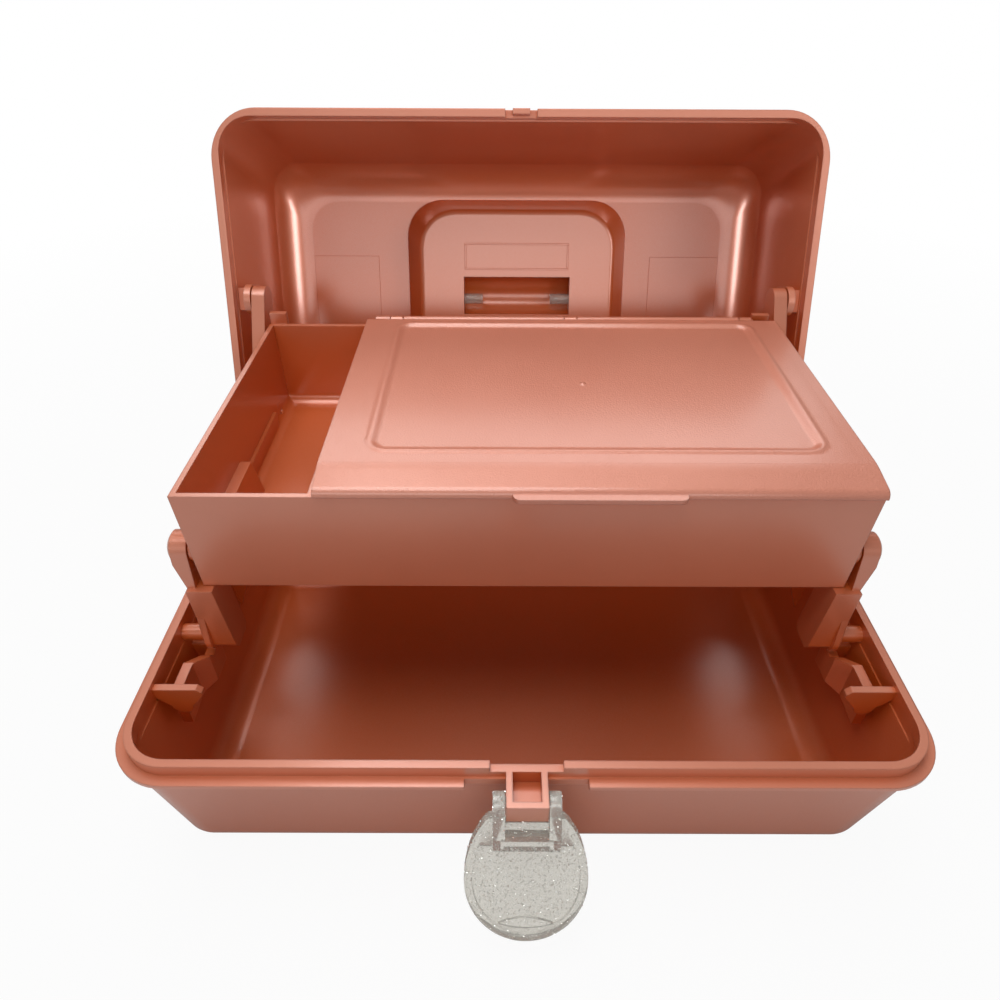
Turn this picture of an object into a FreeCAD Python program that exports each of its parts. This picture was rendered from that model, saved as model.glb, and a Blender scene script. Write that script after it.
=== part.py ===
"""Moulded makeup case: a bin with a domed lid, a lift-up tray on levers, a latch and a bail handle.

Millimetres. X to the right, Y to the back, Z up. The origin is the centre of the bin's underside.
The case is drawn open. The lid is modelled shut and then turned back about its hinge.
"""
import FreeCAD
import Part
import math
import os

V = FreeCAD.Vector
os.makedirs("parts", exist_ok=True)

# ---- Bin ----
base_height = 58.0          # underside to the top of the sealing lip
flange_half_x = 125.5
flange_half_y = 74.0
flange_corner = 19.5
flange_thickness = 3.0
lip_height = 4.5            # lip above the flange
lip_inset = 3.4             # flange edge to the lip
wall = 2.5
base_draft = 6.5            # degrees
base_corner = 12.0
bottom_fillet = 11.0

# ---- Lid ----
lid_height = 68.0
lid_wall = 1.9
rim_height = 5.0
rim_gap = 0.2               # lid rim above the flange when shut
lip_gap = 0.4               # lid rim outside the lip
lid_side_draft = 5.0
lid_front_draft = 9.5
lid_corner = 16.0
lid_top_fillet = 11.0
lid_open_angle = 111.5

# ---- Lid hinge ----
hinge_behind = 3.5          # axis behind the flange
hinge_below = 2.0           # axis below the flange's top
rod_radius = 1.5
rod_play = 0.1
knuckle_radius = 3.3
knuckle_count = 7           # four on the bin, three on the lid
knuckle_pitch = 23.0
knuckle_gap = 0.5

# ---- Levers: steps in (y, z) with the case open ----
post_y = -15.4
post_drop = 5.6             # front lever's pivot on the bin, below the lip
front_lever_step = (5.0, 36.7)      # post to the tray's front pivot
tray_pivot_step = (95.0, -5.4)      # front to rear pivot on the tray
ear_step = (33.4, 70.7)             # lid hinge to the hole in the lid's ear
lever_gap = 11.5            # flange edge to the levers' outer face
lever_thickness = 5.5
lever_half_width = 5.6
lever_dome = 2.2            # head stands proud of the strap
foot_low_in = 13.5          # front lever's foot, inside the levers' outer face
foot_low_out = 3.5
foot_top_in = 11.3
foot_top_out = 2.7
block_front = 4.1           # foot ahead of its pivot
block_back = 7.6
block_drop = 4.4            # foot below its pivot
block_clearance = 0.3       # foot under the tray
pivot_radius = 2.5
pivot_play = 0.08
post_radius = 3.0
ear_slack = 0.75            # the pin wanders this much in the ear
ear_thickness = 2.8
ear_gap = 0.4
ear_radius = 6.2

# ---- Rests for the tray on the bin's side walls ----
shelf_front = -43.0
shelf_thickness = 2.4
shelf_in = 10.0             # inside the levers' outer face
shelf_drop = 1.7            # shelf below the lip
shelf_edge = 3.0
shelf_corner = 1.6
shelf_foot_half = 3.4
shelf_foot_drop = 12.0
rib_thickness = 3.3
rib_depth = 22.0            # rib's foot below the lip
rear_rest_y = 22.0
rear_rest_in = 6.0
rear_rest_drop = 8.0
rear_rest_foot = 34.0

# ---- Tray ----
tray_clearance = 1.2        # tray to lever
tray_ahead = 6.1            # tray's front face ahead of the front pivot
tray_below = 12.0           # tray's underside below the front pivot
tray_length = 119.6
tray_height = 37.5
tray_wall = 1.85
tray_side_draft = 1.8
tray_rear_draft = 4.0
tray_fillet = 4.5
divider_x = -65.0
pocket_clearance = 0.9      # recess round the front lever's foot
pocket_front = 1.4          # behind the front pivot
pocket_back = 40.9
pocket_rise = 13.4
pocket_lean = 3.0
rear_pocket_depth = 2.3     # recess for the rear lever
rear_pocket_back = 84.4
rear_pocket_rise = 7.9
pivot_boss_radius = 5.0
lug_in = 7.8                # lugs at the rear corners, inside the tray's side
lug_out = 0.7
lug_depth = 1.7
lug_rise = 4.9
lug_drop = 2.5

# ---- Flip lid on the tray ----
flip_edge = 1.0                 # left edge beside the divider
flip_ahead = 1.0                # in front of the tray
flip_short = 4.3                # rear edge ahead of the tray's back
flip_overhang = 0.2
flip_gap = 0.3                  # above the tray's rim
flip_rise = 4.6
flip_wall = 1.7
flip_nose = 2.4                 # height of the front face
flip_roll = 12.0                # length of the slope behind it
flip_roll_radius = 28.0
flip_nose_radius = 2.7
flip_panel_depth = 0.9
flip_panel_bevel = 2.6
flip_panel_corner = 6.0
flip_panel_margin_x = 10.5
flip_panel_front = 21.5         # panel behind the front edge
flip_panel_back = 7.8           # panel ahead of the rear edge
flip_axis_ahead = 1.9           # axis ahead of the tray's back
flip_axis_rise = 2.6
flip_barrel = 1.8
flip_pin = 1.0
flip_rear_radius = 2.0
flip_ear_in = (12.0, 3.5)       # end ears, from the left edge and from the lug
flip_ear_width = 5.0
flip_ear_gap = 0.4
lip_half = 26.0                 # finger lip
lip_reach = 2.4
lip_thickness = 1.6
mirror_thickness = 2.0
mirror_corner = 3.0

# ---- Latch ----
latch_ahead = 3.5               # pivot ahead of the flange
latch_drop = 6.0                # pivot below the lip
latch_swing = 29.0              # hangs this far out from straight down
latch_disc_radius = 18.0
latch_reach = 46.8
latch_plate = 2.6
latch_offset = 2.4              # inner face of the disc behind the pivot line
latch_rim = 2.2
latch_rim_height = 1.2
latch_shoulder = 16.5           # half-width of the plate's shoulders
latch_shoulder_drop = 17.5
latch_neck_drop = 10.0
latch_arm_inner = 6.35
latch_arm_outer = 9.8
latch_arm_radius = 3.0
latch_pin = 1.5
latch_bar_reach = 11.6
latch_bar_half = 1.3
latch_bar_depth = 6.3           # from the disc's inner face toward the case
catch_half = 7.0
catch_reach = 0.3               # ledge ahead of the lid's rim
catch_clearance = 0.9
socket_half_x = 6.05
socket_reach = 7.5              # socket box ahead of the flange
socket_drop = 2.0               # below the lip's top
socket_depth = 7.5
socket_wall = 1.9
lip_notch_half = 10.8
plate_half = 18.2

# ---- Handle ----
well_half_x = 54.0
well_half_y = 46.0
well_floor_half_x = 46.3
well_floor_half_y = 39.8
well_corner = 18.0
well_depth = 15.2
well_edge = 3.0
hump_half_x = 28.0
hump_radius = 10.8
hump_y = -1.5
handle_half_x = 40.0
handle_reach = 35.5
handle_grip = 3.3            # half the bail's thickness
handle_width = 9.0
handle_lift = 0.5            # bail above the well's floor
handle_pin = 2.4
handle_pin_length = 11.0

# ---- Places that follow from the sizes above ----
flange_top = base_height - lip_height
lip_half_x = flange_half_x - lip_inset
lip_half_y = flange_half_y - lip_inset
lip_corner = flange_corner - lip_inset
rim_thickness = lip_inset - lip_gap
rim_plane = flange_top + rim_gap
lid_top = rim_plane + lid_height
hinge_y = flange_half_y + hinge_behind
hinge_z = flange_top - hinge_below
hinge_row = knuckle_pitch * knuckle_count / 2

post_pivot = (post_y, base_height - post_drop)
front_tray_pivot = (post_pivot[0] + front_lever_step[0], post_pivot[1] + front_lever_step[1])
rear_tray_pivot = (front_tray_pivot[0] + tray_pivot_step[0], front_tray_pivot[1] + tray_pivot_step[1])
ear_pivot = (hinge_y + ear_step[0], hinge_z + ear_step[1])
lever_outer = flange_half_x - lever_gap
lever_inner = lever_outer - lever_thickness
block_low_inner = lever_outer - foot_low_in
block_low_outer = lever_outer - foot_low_out
block_top_inner = lever_outer - foot_top_in
block_top_outer = lever_outer - foot_top_out
shelf_inner = lever_outer - shelf_in
rear_rest_inner = lever_outer - rear_rest_in
ear_inner = lever_outer + ear_gap
ear_outer = ear_inner + ear_thickness

tray_half_x = lever_inner - tray_clearance
tray_front = front_tray_pivot[0] - tray_ahead
tray_back = tray_front + tray_length
tray_bottom = front_tray_pivot[1] - tray_below
tray_top = tray_bottom + tray_height
lug_inner = tray_half_x - lug_in
lug_outer = tray_half_x - lug_out

flip_front = tray_front - flip_ahead
flip_back = tray_back - flip_short
flip_axis_y = tray_back - flip_axis_ahead
flip_axis_z = tray_top + flip_axis_rise
flip_low = tray_top + flip_gap
flip_high = flip_low + flip_rise
flip_left = divider_x + flip_edge
flip_right = tray_half_x + flip_overhang
lip_centre = (flip_left + flip_right) / 2
flip_ear_x = (flip_left + flip_ear_in[0], lip_centre, lug_inner - flip_ear_in[1])

latch_y = -flange_half_y - latch_ahead
latch_z = base_height - latch_drop
socket_front = -flange_half_y - socket_reach
socket_top = base_height - socket_drop
shelf_top = base_height - shelf_drop

well_floor = lid_top - well_depth
handle_z = well_floor + handle_grip + handle_lift


def tan(degrees):
    return math.tan(math.radians(degrees))


def box(x0, x1, y0, y1, z0, z1):
    return Part.makeBox(x1 - x0, y1 - y0, z1 - z0, V(x0, y0, z0))


def frustum(low, high):
    """Solid between two level rectangles, each (x0, x1, y0, y1, z)."""
    x0, x1, y0, y1, z0 = low
    x2, x3, y2, y3, z1 = high
    wedge = Part.makeWedge(x0, z0, -y1, -y3, x2, x1, z1, -y0, -y2, x3)
    wedge.rotate(V(0, 0, 0), V(1, 0, 0), 90)
    return wedge


def upright_edges(shape):
    """Edges that climb from one level ring to the other."""
    found = []
    for edge in shape.Edges:
        span = edge.BoundBox
        if span.ZLength > 0.9 * shape.BoundBox.ZLength:
            found.append(edge)
    return found


def level_edges(shape, z):
    found = []
    for edge in shape.Edges:
        span = edge.BoundBox
        if span.ZLength < 0.1 and abs(span.ZMin - z) < 0.1:
            found.append(edge)
    return found


def rounded_upright(shape, radius):
    return shape.makeFillet(radius, upright_edges(shape))


def ring(x0, x1, y0, y1, z, corner):
    """Level rectangle with round corners."""
    middle = corner * (1 - math.sqrt(0.5))
    sides = [
        ((x0 + corner, y0), (x1 - corner, y0)),
        ((x1, y0 + corner), (x1, y1 - corner)),
        ((x1 - corner, y1), (x0 + corner, y1)),
        ((x0, y1 - corner), (x0, y0 + corner)),
    ]
    bends = [
        (x1 - middle, y0 + middle),
        (x1 - middle, y1 - middle),
        (x0 + middle, y1 - middle),
        (x0 + middle, y0 + middle),
    ]
    edges = []
    for i in range(4):
        start, end = sides[i]
        after = sides[(i + 1) % 4][0]
        edges.append(Part.makeLine(V(*start, z), V(*end, z)))
        edges.append(Part.Arc(V(*end, z), V(*bends[i], z), V(*after, z)).toShape())
    return Part.Wire(edges)


def slab(half_x, half_y, corner, z0, z1):
    face = Part.Face(ring(-half_x, half_x, -half_y, half_y, z0, corner))
    return face.extrude(V(0, 0, z1 - z0))


def rod_x(y, z, radius, x0, x1):
    return Part.makeCylinder(radius, x1 - x0, V(x0, y, z), V(1, 0, 0))


def prism(corners, along):
    face = Part.Face(Part.makePolygon(corners + corners[:1]))
    return face.extrude(along)


def extrude_x(points, x0, x1):
    """Prism along X from (y, z) corners."""
    return prism([V(x0, y, z) for y, z in points], V(x1 - x0, 0, 0))


def extrude_y(points, y0, y1):
    """Prism along Y from (x, z) corners."""
    return prism([V(x, y0, z) for x, z in points], V(0, y1 - y0, 0))


def extrude_z(points, z0, z1):
    """Prism along Z from (x, y) corners."""
    return prism([V(x, y, z0) for x, y in points], V(0, 0, z1 - z0))


def link(start, end, radius, x0, x1):
    """Flat bar along X with round ends on two (y, z) points."""
    dy = end[0] - start[0]
    dz = end[1] - start[1]
    length = math.hypot(dy, dz)
    ny = -dz / length * radius
    nz = dy / length * radius
    corners = [
        (start[0] + ny, start[1] + nz),
        (end[0] + ny, end[1] + nz),
        (end[0] - ny, end[1] - nz),
        (start[0] - ny, start[1] - nz),
    ]
    bar = extrude_x(corners, x0, x1)
    heads = [rod_x(start[0], start[1], radius, x0, x1), rod_x(end[0], end[1], radius, x0, x1)]
    return bar.fuse(heads).removeSplitter()


def turned(shape, y, z, degrees):
    moved = shape.copy()
    moved.rotate(V(0, y, z), V(1, 0, 0), degrees)
    return moved


def mirrored(shape):
    return shape.mirror(V(0, 0, 0), V(1, 0, 0))


def both_sides(shape):
    return [shape, mirrored(shape)]


def turn_point(point, pivot, degrees):
    c = math.cos(math.radians(degrees))
    s = math.sin(math.radians(degrees))
    dy = point[0] - pivot[0]
    dz = point[1] - pivot[1]
    return (pivot[0] + c * dy - s * dz, pivot[1] + s * dy + c * dz)


def knuckles(first):
    """Every other barrel of the hinge row, from index first."""
    spans = []
    for i in range(first, knuckle_count, 2):
        x0 = -hinge_row + i * knuckle_pitch + knuckle_gap / 2
        spans.append((x0, x0 + knuckle_pitch - knuckle_gap))
    return spans


def bin_form(inset, z0, z1):
    """The bin's drafted walls, shrunk by inset, with a rolled bottom edge."""

    def outline(z):
        run = (flange_top - z) * tan(base_draft) + inset
        return (-lip_half_x + run, lip_half_x - run, -lip_half_y + run, lip_half_y - run, z)

    block = rounded_upright(frustum(outline(z0), outline(z1)), base_corner - inset)
    return block.makeFillet(bottom_fillet - inset, level_edges(block, z0))


def base_inner_x(z):
    """Half-width of the bin's inside at height z."""
    return lip_half_x - wall - (flange_top - z) * tan(base_draft)


def make_base():
    outer = bin_form(0, 0, flange_top)
    lip = slab(lip_half_x, lip_half_y, lip_corner, flange_top, base_height)
    flange_low = flange_top - flange_thickness
    flange = slab(flange_half_x, flange_half_y, flange_corner, flange_low, flange_top)
    flange = flange.makeChamfer(flange_thickness * 0.5, level_edges(flange, flange_low))
    # flat stretch of the flange where the latch hangs
    plate = box(-plate_half, plate_half, -flange_half_y - 1, -lip_half_y - 0.8, 0, flange_top)
    shell = outer.fuse([lip, flange.cut(plate)])
    shell = shell.cut(bin_form(wall, wall, flange_top))
    mouth_corner = lip_corner - wall
    mouth = slab(lip_half_x - wall, lip_half_y - wall, mouth_corner, flange_low, base_height + 1)
    shell = shell.cut(mouth)

    # lip lowered across the front, with the socket box of the latch standing ahead of it
    notch_back = -lip_half_y + 2 * wall
    notch = box(-lip_notch_half, lip_notch_half, -flange_half_y, notch_back, socket_top, base_height + 1)
    socket_low = socket_top - socket_depth
    socket = box(-socket_half_x, socket_half_x, socket_front, -lip_half_y + 1, socket_low, socket_top)
    shell = shell.cut(notch).fuse(socket)
    opening_x = socket_half_x - socket_wall
    opening_front = socket_front + socket_wall
    opening = box(-opening_x, opening_x, opening_front, -lip_half_y, socket_low + socket_wall, socket_top + 1)
    shell = shell.cut(opening)
    bore = latch_pin + pivot_play
    for sided in both_sides(rod_x(latch_y, latch_z, bore, opening_x + 0.2, socket_half_x + 1)):
        shell = shell.cut(sided)

    # hinge barrels behind the flange
    barrels = []
    for x0, x1 in knuckles(0):
        barrels.append(rod_x(hinge_y, hinge_z, knuckle_radius, x0, x1))
        barrels.append(box(x0, x1, flange_half_y - 2, hinge_y, hinge_z - knuckle_radius, hinge_z + 1.2))
    shell = shell.fuse(barrels)
    shell = shell.cut(rod_x(hinge_y, hinge_z, rod_radius + rod_play, -hinge_row + 2.5, hinge_row + 1))

    # lever posts, tray rests and ribs on both side walls
    for sided in both_sides(side_fittings()):
        shell = shell.fuse(sided)
    return shell.removeSplitter()


def side_fittings():
    """Right-hand post, front shelf, rib and rear rest; each reaches into the wall."""
    py, pz = post_pivot
    in_wall = base_inner_x(pz) + wall / 2
    post = rod_x(py, pz, post_radius, block_low_inner + 2.5, in_wall)

    # shelf: a flat top over a plate that tapers to a rounded tongue
    mid = (shelf_inner + base_inner_x(shelf_top)) / 2
    low = shelf_top - shelf_foot_drop
    foot_z = low + shelf_foot_half
    outline = [
        (shelf_inner, shelf_top - shelf_corner),
        (shelf_inner + shelf_corner, shelf_top),
        (in_wall, shelf_top),
        (in_wall, shelf_top - shelf_edge),
        (mid + shelf_foot_half, foot_z),
        (mid - shelf_foot_half, foot_z),
        (shelf_inner, shelf_top - shelf_edge),
    ]
    shelf_back = shelf_front + shelf_thickness
    plate = extrude_y(outline, shelf_front, shelf_back)
    tongue = Part.makeCylinder(shelf_foot_half, shelf_thickness, V(mid, shelf_front, foot_z), V(0, 1, 0))

    # bent rib from the shelf back to the foot of the post
    bend_y = py - 13.0
    end_y = py - 7.4
    outer_x = lever_outer + 1.4
    half = rib_thickness
    plan = [
        (outer_x, shelf_back - 0.5),
        (outer_x + 0.5, bend_y),
        (outer_x - 2.8, end_y),
        (outer_x - 2.8, py + 1.6),
        (outer_x - 2.8 - half, py + 1.6),
        (outer_x - 2.8 - half, end_y - 0.7),
        (outer_x + 0.5 - half, bend_y - 0.7),
        (outer_x - half, shelf_back - 0.5),
    ]
    rib_low = base_height - rib_depth
    rib = extrude_z(plan, rib_low, base_height)
    side = [
        (shelf_front, rib_low),
        (shelf_front, pz + 0.1),
        (bend_y, pz - 0.9),
        (end_y, pz - 3.9),
        (end_y + 2, pz - 6.2),
        (py + 2, pz - 6.2),
        (py + 2, rib_low),
    ]
    rib = rib.common(extrude_x(side, shelf_inner, in_wall))
    # gusset that ties the rib's end to the wall
    gusset = [
        (outer_x - 2.8 - half, pz - 6.2),
        (in_wall, pz - 6.2),
        (base_inner_x(rib_low - 8) + 0.6, rib_low - 8),
        (outer_x - 2.8 - half, rib_low),
    ]
    gusset = extrude_y(gusset, py - 0.6, py + 1.6)

    rest_top = base_height - rear_rest_drop
    rest_low = base_height - rear_rest_foot
    rest = [
        (rear_rest_inner, rest_top),
        (in_wall, rest_top),
        (base_inner_x(rest_low) + 0.6, rest_low),
        (rear_rest_inner, rest_top - shelf_edge),
    ]
    rest = extrude_y(rest, rear_rest_y, rear_rest_y + shelf_thickness)
    return post.fuse([plate, tongue, rib, gusset, rest])


def lid_side(z, depth=0.0):
    """Half-width of the lid's outside at height z, less a depth."""
    return flange_half_x - (rim_thickness - lid_wall) - (z - rim_plane) * tan(lid_side_draft) - depth


def lid_block(inset, z0, z1, corner, fillet):
    """The lid's outer form shrunk by inset, from z0 to z1."""
    step = rim_thickness - lid_wall

    def outline(z):
        side = lid_side(z, inset)
        rear = flange_half_y - step - (z - rim_plane) * tan(lid_side_draft) - inset
        front = -flange_half_y + step + (z - rim_plane) * tan(lid_front_draft) + inset
        return (-side, side, front, rear, z)

    block = frustum(outline(z0), outline(z1))
    block = rounded_upright(block, corner)
    return block.makeFillet(fillet, level_edges(block, z1))


def well_block(grow, z_floor, z_top):
    """Tapered handle well, grown by a wall thickness."""
    slope_x = (well_half_x - well_floor_half_x) / well_depth
    slope_y = (well_half_y - well_floor_half_y) / well_depth

    def outline(z):
        rise = z - well_floor
        hx = well_floor_half_x + slope_x * rise + grow
        hy = well_floor_half_y + slope_y * rise + grow
        return (-hx, hx, -hy, hy, z)

    block = frustum(outline(z_floor), outline(z_top))
    return rounded_upright(block, well_corner + grow)


def hump(grow):
    """Half-round ridge across the well floor that takes the handle's pins."""
    half = hump_half_x + grow
    radius = hump_radius + grow
    ridge = rod_x(hump_y, well_floor, radius, -half, half)
    return ridge.common(box(-half, half, hump_y - radius, hump_y + radius, well_floor - 0.01, lid_top))


def make_lid():
    outer = lid_block(0, rim_plane, lid_top, lid_corner, lid_top_fillet)
    rim = slab(flange_half_x, flange_half_y, flange_corner, rim_plane, rim_plane + rim_height)
    shell = outer.fuse(rim)
    ceiling = lid_top - lid_wall
    inside = lid_block(lid_wall, rim_plane, ceiling, lid_corner - lid_wall, lid_top_fillet - lid_wall)
    room_x = lip_half_x + lip_gap
    room_y = lip_half_y + lip_gap
    lip_room = slab(room_x, room_y, lip_corner + lip_gap, rim_plane - 1, base_height + lip_gap)
    shell = shell.cut(inside.fuse(lip_room))

    # handle well, seen from inside as a boss with a soft edge
    boss = well_block(lid_wall, well_floor - lid_wall, lid_top - lid_wall / 2)
    boss = boss.makeFillet(well_edge, level_edges(boss, well_floor - lid_wall))
    shell = shell.fuse(boss).cut(well_block(0, well_floor, lid_top + 1))
    slot_x = hump_half_x - lid_wall
    slot_y = hump_radius - lid_wall
    slot = box(-slot_x, slot_x, hump_y - slot_y, hump_y + slot_y, well_floor - lid_wall - 1, well_floor)
    shell = shell.fuse(hump(0)).cut(hump(-lid_wall).fuse(slot))
    pin_bore = handle_pin + pivot_play
    shell = shell.cut(rod_x(0, handle_z, pin_bore, -hump_half_x - 1, hump_half_x + 1))

    # ledge for the latch, and the tongue that drops into the socket
    nose = -flange_half_y - catch_reach
    behind = -flange_half_y + rim_thickness
    catch_top = latch_z + latch_bar_reach - latch_bar_half - catch_clearance
    profile = [
        (nose, base_height + 0.5),
        (nose, catch_top - 0.5),
        (nose + 0.5, catch_top),
        (behind, catch_top),
        (behind, base_height + 0.5),
    ]
    catch = extrude_x(profile, -catch_half, catch_half)
    socket_room = socket_half_x + lip_gap
    room_top = socket_top + lip_gap
    room = box(-socket_room, socket_room, -flange_half_y - 1, -room_y + 1, rim_plane - 1, room_top)
    tongue_x = socket_half_x - socket_wall - 0.7
    tongue = box(-tongue_x, tongue_x, -flange_half_y, -flange_half_y + 2, socket_top - 3, base_height + 1)
    shell = shell.cut(room).fuse([catch, tongue])

    barrels = []
    for x0, x1 in knuckles(1):
        barrels.append(rod_x(hinge_y, hinge_z, knuckle_radius, x0, x1))
        web = [
            (flange_half_y + 0.2, hinge_z),
            (hinge_y, hinge_z),
            (hinge_y + 2.4, hinge_z + 2.2),
            (flange_half_y - 0.6, rim_plane + rim_height),
            (flange_half_y - 0.6, rim_plane),
            (flange_half_y + 0.2, rim_plane),
        ]
        barrels.append(extrude_x(web, x0, x1))
    shell = shell.fuse(barrels)
    shell = shell.cut(rod_x(hinge_y, hinge_z, rod_radius + rod_play, -hinge_row, hinge_row))

    hole_y, hole_z = ear_shut()
    for sided in both_sides(lid_ear()):
        shell = shell.fuse(sided)
    for sided in both_sides(rod_x(hole_y, hole_z, pivot_radius + ear_slack, ear_inner - 1, ear_outer + 0.3)):
        shell = shell.cut(sided)
    shell = shell.removeSplitter()
    return turned(shell, hinge_y, hinge_z, -lid_open_angle)


def ear_shut():
    """Place of the ear's hole with the lid shut."""
    return turn_point(ear_pivot, (hinge_y, hinge_z), lid_open_angle)


def lid_ear():
    """Right-hand ear: a hanging plate with a round end, tied to the lid's wall above the lip."""
    ey, ez = ear_shut()
    top = base_height + 11.0
    plate = link((ey, ez), (ey, top - ear_radius), ear_radius, ear_inner, ear_outer)
    reach = lid_side(top) - lid_wall / 2
    arm_front = ey - ear_radius + 1.5
    arm_back = ey + ear_radius - 1.5
    arm = box(ear_outer - 1.0, reach, arm_front, arm_back, base_height + 1.2, top - 3)
    return plate.fuse(arm)


def make_hinge_rod():
    return rod_x(hinge_y, hinge_z, rod_radius, -hinge_row + 3.0, hinge_row - 0.5)


def foot_recess(grow):
    """Right-hand room for the front lever's foot, grown by a wall; its inner side leans."""
    low_x = block_low_inner - pocket_clearance - grow
    top_x = low_x + pocket_lean
    y0 = front_tray_pivot[0] + pocket_front - grow
    y1 = front_tray_pivot[0] + pocket_back + grow
    z1 = tray_bottom + pocket_rise + grow
    beyond = tray_half_x + 1
    return frustum((low_x, beyond, y0, y1, tray_bottom - 1), (top_x, beyond, y0, y1, z1))


def lever_recess(grow):
    """Right-hand room for the rear lever."""
    y0 = front_tray_pivot[0] + pocket_back - 1
    y1 = front_tray_pivot[0] + rear_pocket_back + grow
    z1 = tray_bottom + rear_pocket_rise + grow
    return box(tray_half_x - rear_pocket_depth - grow, tray_half_x + 1, y0, y1, tray_bottom - 1, z1)


def tray_block(inset, x0, x1, z0, z1):
    """Tray's drafted form less an inset, between two stations; an x of None is an outer side."""

    def outline(z):
        drop = tray_top - z
        side = tray_half_x - drop * tan(tray_side_draft) - inset
        left = -side if x0 is None else x0
        right = side if x1 is None else x1
        return (left, right, tray_front + inset, tray_back - drop * tan(tray_rear_draft) - inset, z)

    return frustum(outline(z0), outline(z1))


def make_tray():
    outer = tray_block(0, None, None, tray_bottom, tray_top)
    for maker in (foot_recess, lever_recess):
        outer = outer.cut(both_sides(maker(0)))
    floor = tray_bottom + tray_wall
    half = tray_wall / 2
    cells = []
    for x0, x1 in ((None, divider_x - half), (divider_x + half, None)):
        cell = tray_block(tray_wall, x0, x1, floor, tray_top + 1)
        cell = cell.makeFillet(tray_fillet, level_edges(cell, floor))
        for maker in (foot_recess, lever_recess):
            cell = cell.cut(both_sides(maker(tray_wall)))
        cells.append(cell)
    tray = outer.cut(cells)
    added = []
    for y, z in (front_tray_pivot, rear_tray_pivot):
        added += both_sides(rod_x(y, z, pivot_boss_radius, tray_half_x - tray_wall, lever_inner - 0.3))
    lug_z = tray_top + lug_rise
    lug = box(lug_inner, lug_outer, tray_back - 0.6, tray_back + lug_depth, tray_top - lug_drop, lug_z)
    added += both_sides(lug)
    for x in flip_ear_x:
        added.append(flip_ear(x))
    tray = tray.fuse(added)
    holes = []
    for y, z in (front_tray_pivot, rear_tray_pivot):
        inner = tray_half_x - 2 * tray_wall - 0.5
        holes += both_sides(rod_x(y, z, pivot_radius + pivot_play, inner, lever_inner + 1))
    holes.append(rod_x(flip_axis_y, flip_axis_z, flip_pin + pivot_play, flip_left, tray_half_x))
    return tray.cut(holes).removeSplitter()


def flip_ear(x):
    """Ear on the tray's rear rim that holds the flip lid's pin."""
    half = flip_ear_width / 2
    eye = rod_x(flip_axis_y, flip_axis_z, flip_barrel, x - half, x + half)
    foot = box(x - half, x + half, flip_axis_y - flip_barrel, tray_back - 0.3, tray_top - 4, flip_axis_z)
    return eye.fuse(foot)


def make_flip_lid():
    slope_end = flip_front + flip_roll
    side = [
        (flip_front, flip_low),
        (flip_front, flip_low + flip_nose),
        (slope_end, flip_high),
        (flip_back, flip_high),
        (flip_back, flip_low),
    ]
    shell = extrude_x(side, flip_left, flip_right)
    for y, z, radius in (
        (flip_back, flip_high, flip_rear_radius),
        (slope_end, flip_high, flip_roll_radius),
        (flip_front, flip_low + flip_nose, flip_nose_radius),
    ):
        edge = [e for e in level_edges(shell, z) if abs(e.BoundBox.YMax - y) < 0.01 and e.BoundBox.XLength > 9]
        shell = shell.makeFillet(radius, edge)
    margin = flip_panel_margin_x
    bevel = flip_panel_bevel
    px0 = flip_left + margin
    px1 = flip_right - margin
    py0 = flip_front + flip_panel_front
    py1 = flip_back - flip_panel_back
    panel_z = flip_high - flip_panel_depth
    wide = (px0 - bevel, px1 + bevel, py0 - bevel, py1 + bevel, flip_high)
    recess = frustum((px0, px1, py0, py1, panel_z), wide)
    shell = shell.cut(rounded_upright(recess, flip_panel_corner))
    under = panel_z - flip_wall
    hollow = box(flip_left + flip_wall, flip_right - flip_wall, slope_end, flip_back - flip_wall, flip_low - 1, under)
    shell = shell.cut(hollow)
    # finger lip along the front edge
    finger = box(
        lip_centre - lip_half,
        lip_centre + lip_half,
        flip_front - lip_reach,
        flip_front + 3,
        flip_low,
        flip_low + lip_thickness,
    )
    shell = shell.fuse(rounded_upright(finger, lip_reach - 0.2))
    # barrel along the rear edge, narrowed to a pin at each ear
    end = 3.0
    barrel = rod_x(flip_axis_y, flip_axis_z, flip_barrel, flip_left + end, lug_inner - end)
    web_x = lug_inner - end
    web = box(flip_left + end, web_x, flip_back - 1, flip_axis_y, flip_low + 0.6, flip_axis_z + 0.6)
    shell = shell.fuse([barrel, web])
    for x in flip_ear_x:
        half = flip_ear_width / 2 + flip_ear_gap
        room = box(x - half, x + half, flip_axis_y - flip_barrel - 0.4, tray_back + 1, flip_low - 3, flip_high + 1)
        pin = rod_x(flip_axis_y, flip_axis_z, flip_pin, x - half - 0.5, x + half + 0.5)
        shell = shell.cut(room).fuse(pin)
    return shell.removeSplitter()


def make_mirror():
    x0 = flip_left + flip_panel_margin_x
    x1 = flip_right - flip_panel_margin_x
    y0 = flip_front + flip_panel_front
    y1 = flip_back - flip_panel_back
    z1 = flip_high - flip_panel_depth - flip_wall
    return rounded_upright(box(x0, x1, y0, y1, z1 - mirror_thickness, z1), mirror_corner)


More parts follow.
